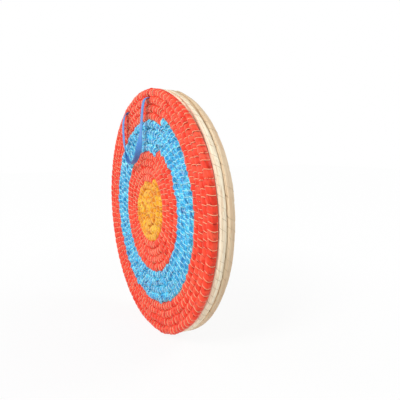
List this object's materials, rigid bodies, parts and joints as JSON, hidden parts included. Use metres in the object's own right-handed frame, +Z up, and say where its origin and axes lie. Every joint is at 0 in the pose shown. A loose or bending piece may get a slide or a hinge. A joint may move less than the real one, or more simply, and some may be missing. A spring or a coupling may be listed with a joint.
{
  "type": "archery target boss",
  "caption": "Round straw archery boss of coiled, stitched rope with coloured rings on its face, plain straw backing coils and a hanging strap.",
  "frame": {"origin": "on the floor, straight below the point about which the coils are wound, with the disc on its rim", "axes": "+Z up; the scoring face looks along -Y; +X to the right of someone who looks at the face"},
  "size_m": [0.4983, 0.0698, 0.489],
  "materials": {
    "gold_ribbon": "glossy plastic ribbon, wrapped round straw",
    "red_ribbon": "glossy plastic ribbon, wrapped round straw",
    "blue_ribbon": "glossy plastic ribbon, wrapped round straw",
    "straw": "bare dried straw, matt",
    "webbing": "flat woven webbing, satin",
    "twine": "sewing twine, matt"
  },
  "bodies": {
    "boss": {"face_coil_gold": "gold_ribbon", "face_coil_red_inner": "red_ribbon", "face_coil_blue": "blue_ribbon", "face_coil_red_outer": "red_ribbon", "middle_straw_coil": "straw", "back_straw_coil": "straw", "strap_anchor": "webbing", "layer_tie_1": "twine", "layer_tie_2": "twine", "layer_tie_3": "twine", "layer_tie_4": "twine", "layer_tie_5": "twine", "layer_tie_6": "twine", "layer_tie_7": "twine"},
    "strap_loop": {"strap_loop": "webbing"}
  },
  "joints": [
    {"name": "strap_swing", "type": "hinge", "parent": "boss", "child": "strap_loop", "pos_m": [-0.04572, -0.0327, 0.46187], "axis": [-0.9803, 0, -0.1976], "range_deg": [0, 160]}
  ]
}
